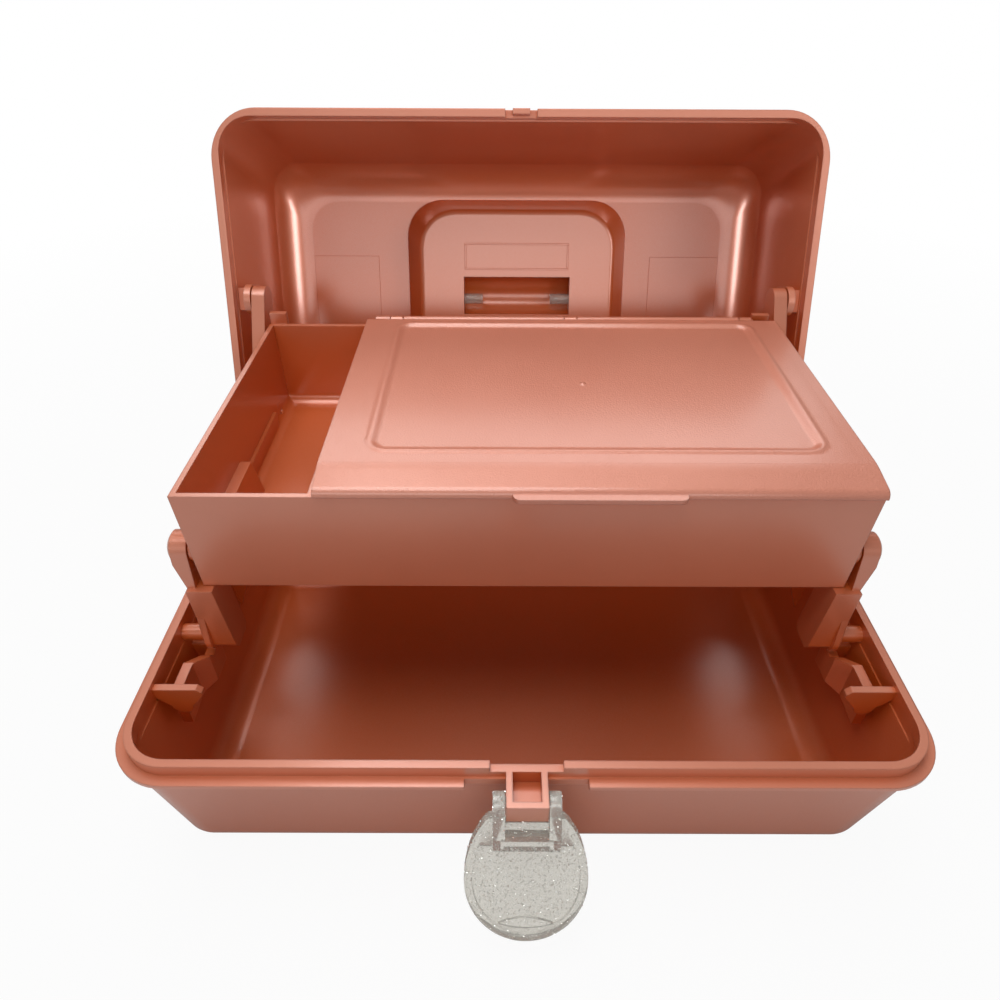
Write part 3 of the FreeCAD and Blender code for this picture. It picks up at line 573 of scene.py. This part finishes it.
def glitterTree():
    spec = glitter
    tree = bpy.data.node_groups.new("glitter", "GeometryNodeTree")
    for name, kind in (("Geometry", "Geometry"), ("Density", "Float"), ("Radius", "Float"),
                       ("Seed", "Int"), ("Material", "Material")):
        tree.interface.new_socket(name, in_out="INPUT", socket_type="NodeSocket" + kind)
    tree.interface.new_socket("Geometry", in_out="OUTPUT", socket_type="NodeSocketGeometry")
    start = addNode(tree, "NodeGroupInput")
    end = addNode(tree, "NodeGroupOutput")
    scatter = addNode(tree, "GeometryNodeDistributePointsOnFaces")
    shape = addNode(tree, "GeometryNodeMeshCircle", {"Vertices": spec["flakeCorners"]}, fill_type="NGON")
    turn = addNode(tree, "FunctionNodeRandomValue", {"Min": (0.0, 0.0, 0.0), "Max": (spec["fullTurn"],) * 3},
                   data_type="FLOAT_VECTOR")
    size = addNode(tree, "FunctionNodeRandomValue", {"Min": spec["smallest"], "Max": spec["largest"]})
    place = addNode(tree, "GeometryNodeInstanceOnPoints")
    solid = addNode(tree, "GeometryNodeRealizeInstances")
    paint = addNode(tree, "GeometryNodeSetMaterial")
    for giver, output, taker, socket in ((start, "Geometry", scatter, "Mesh"),
                                         (start, "Density", scatter, "Density"),
                                         (start, "Seed", scatter, "Seed"),
                                         (start, "Seed", turn, "Seed"),
                                         (start, "Radius", shape, "Radius"),
                                         (scatter, "Points", place, "Points"),
                                         (shape, "Mesh", place, "Instance"),
                                         (turn, "Value", place, "Rotation"),
                                         (size, 1, place, "Scale"),
                                         (place, "Instances", solid, "Geometry"),
                                         (solid, "Geometry", paint, "Geometry"),
                                         (start, "Material", paint, "Material"),
                                         (paint, "Geometry", end, "Geometry")):
        join(tree, giver.outputs[output], taker.inputs[socket])
    return tree


def sprinkle(source, name, density, body, tree):
    piece = bpy.data.objects.new(name, source.data.copy())
    bpy.context.scene.collection.objects.link(piece)
    nodes = piece.modifiers.new("glitter", "NODES")
    nodes.node_group = tree
    values = {"Density": density, "Radius": glitter["flakeRadius"], "Seed": glitter["seed"],
              "Material": flake}
    for item in tree.interface.items_tree:
        if item.in_out == "INPUT" and item.name in values:
            nodes[item.identifier] = values[item.name]
    mesh = keepResult(piece)
    print(name, len(mesh.polygons), "flakes")
    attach(piece, body)


glitterNodes = glitterTree()
sprinkle(latchCast, "latch_glitter", glitter["latchDensity"], "latch", glitterNodes)
sprinkle(bpy.data.objects["handle"], "handle_glitter", glitter["handleDensity"], "handle", glitterNodes)
print("glitter done")

# where the camera stands and how it looks
camera = {
    "place": (-0.0084, -0.1794, 0.245),
    "pitch": 38.85,   # degrees below level
    "yaw": 0.11,
    "roll": -0.28,
    "lens": 25.2,
    "sensor": 36.0,
    "clipStart": 0.01,
}


def makeCamera():
    pitch = math.radians(camera["pitch"])
    yaw = math.radians(camera["yaw"])
    roll = math.radians(camera["roll"])
    ahead = Vector((math.sin(yaw) * math.cos(pitch), math.cos(yaw) * math.cos(pitch), -math.sin(pitch)))
    right = Vector((math.cos(yaw), -math.sin(yaw), 0.0))
    down = ahead.cross(right)
    turnedRight = right * math.cos(roll) + down * math.sin(roll)
    turnedDown = down * math.cos(roll) - right * math.sin(roll)
    data = bpy.data.cameras.new("camera")
    data.lens = camera["lens"]
    data.sensor_width = camera["sensor"]
    data.clip_start = camera["clipStart"]
    rig = bpy.data.objects.new("camera", data)
    bpy.context.scene.collection.objects.link(rig)
    turn = Matrix((turnedRight, -turnedDown, -ahead)).transposed()
    rig.matrix_world = Matrix.Translation(camera["place"]) @ turn.to_4x4()
    bpy.context.scene.camera = rig


studio = {
    "worldColour": (1.0, 0.985, 0.97, 1.0),
    "worldFill": 0.24,
    "floorHalf": 3.0,
    "floorColour": (0.60, 0.60, 0.60, 1.0),
    "floorRoughness": 0.8,
    "floorGlow": 0.94,        # share of plain white in the floor near the case
    "floorReach": 0.75,       # metres to where the floor is white alone
    "fadeShare": 0.6,         # share of that over which it gets there
}


def seenDirectly(tree):
    # 1 for camera and transmission rays, otherwise 0
    rays = addNode(tree, "ShaderNodeLightPath")
    either = addNode(tree, "ShaderNodeMath", operation="MAXIMUM")
    join(tree, rays.outputs["Is Camera Ray"], either.inputs[0])
    join(tree, rays.outputs["Is Transmission Ray"], either.inputs[1])
    return either.outputs[0]


def makeWorld():
    world = bpy.data.worlds.new("studio")
    bpy.context.scene.world = world
    world.use_nodes = True
    tree = world.node_tree
    tree.nodes.clear()
    fill = addNode(tree, "ShaderNodeBackground", {"Color": studio["worldColour"],
                                                  "Strength": studio["worldFill"]})
    white = addNode(tree, "ShaderNodeBackground", {"Color": (1.0, 1.0, 1.0, 1.0), "Strength": 1.0})
    mix = addNode(tree, "ShaderNodeMixShader")
    output = addNode(tree, "ShaderNodeOutputWorld")
    join(tree, seenDirectly(tree), mix.inputs["Fac"])
    join(tree, fill.outputs[0], mix.inputs[1])
    join(tree, white.outputs[0], mix.inputs[2])
    join(tree, mix.outputs[0], output.inputs["Surface"])


def makeFloor():
    mesh = bpy.data.meshes.new("floor")
    half = studio["floorHalf"]
    corners = [(-half, -half, 0), (half, -half, 0), (half, half, 0), (-half, half, 0)]
    mesh.from_pydata(corners, [], [(0, 1, 2, 3)])
    floor = bpy.data.objects.new("floor", mesh)
    bpy.context.scene.collection.objects.link(floor)
    material, shader = newMaterial("pale floor")
    setInputs(shader, {"Base Color": studio["floorColour"], "Roughness": studio["floorRoughness"]})
    tree = material.node_tree
    output = [node for node in tree.nodes if node.type == "OUTPUT_MATERIAL"][0]
    # the shadow shows near the case and fades to plain white further out
    place = addNode(tree, "ShaderNodeTexCoord")
    scaled = addNode(tree, "ShaderNodeVectorMath", {"Scale": 1.0 / studio["floorReach"]}, operation="SCALE")
    join(tree, place.outputs["Object"], scaled.inputs[0])
    near = addNode(tree, "ShaderNodeTexGradient", gradient_type="SPHERICAL")
    join(tree, scaled.outputs[0], near.inputs["Vector"])
    glow = addNode(tree, "ShaderNodeMapRange", {"From Min": 0.0, "From Max": studio["fadeShare"],
                                                "To Min": 1.0, "To Max": studio["floorGlow"]})
    join(tree, near.outputs["Fac"], glow.inputs["Value"])
    share = addNode(tree, "ShaderNodeMath", operation="MULTIPLY")
    join(tree, glow.outputs["Result"], share.inputs[0])
    join(tree, seenDirectly(tree), share.inputs[1])
    white = addNode(tree, "ShaderNodeEmission")
    mix = addNode(tree, "ShaderNodeMixShader")
    join(tree, share.outputs[0], mix.inputs["Fac"])
    join(tree, shader.outputs["BSDF"], mix.inputs[1])
    join(tree, white.outputs[0], mix.inputs[2])
    join(tree, mix.outputs[0], output.inputs["Surface"])
    mesh.materials.append(material)


# each lamp: place, target, size, watts, the pieces it lights where it is not for all, and whether
# it is for the gloss alone
lidPieces = ("lid_shell", "lid_inner_curve", "lid_inner_marks")
curvePieces = ("lid_inner_curve",)
lamps = {
    "overhead softbox": ((-0.12, 0.05, 0.95), (0.0, 0.02, 0.08), (0.8, 0.5), 5.4, (), False),
    "back softbox": ((0.0, 0.85, 0.80), (0.0, 0.02, 0.12), (1.2, 0.4), 3.4, (), False),
    "front fill": ((0.0, -0.95, 0.55), (0.0, 0.0, 0.08), (0.9, 0.4), 2.6, (), False),
    "left strip": ((-0.66, -0.44, 0.45), (0.0, 0.12, 0.15), (0.24, 0.55), 5.0, curvePieces, True),
    "right strip": ((0.66, -0.44, 0.45), (0.0, 0.12, 0.15), (0.24, 0.55), 5.0, curvePieces, True),
    "right wash": ((0.66, -0.44, 0.45), (0.0, 0.12, 0.15), (0.3, 0.5), 1.9, lidPieces, False),
}


def makeLamp(name, place, target, size, power, only, glossOnly):
    data = bpy.data.lights.new(name, "AREA")
    data.shape = "RECTANGLE"
    data.size = size[0]
    data.size_y = size[1]
    data.energy = power
    lamp = bpy.data.objects.new(name, data)
    bpy.context.scene.collection.objects.link(lamp)
    lamp.location = place
    lamp.rotation_euler = (Vector(target) - Vector(place)).to_track_quat("-Z", "Y").to_euler()
    if only:
        lit = bpy.data.collections.new(name + " lights")
        for piece in only:
            lit.objects.link(bpy.data.objects[piece])
        lamp.light_linking.receiver_collection = lit
    lamp.visible_diffuse = not glossOnly


makeCamera()
makeWorld()
makeFloor()
for name, lamp in lamps.items():
    makeLamp(name, *lamp)
bpy.context.scene.view_settings.view_transform = "Standard"
print("stage done")
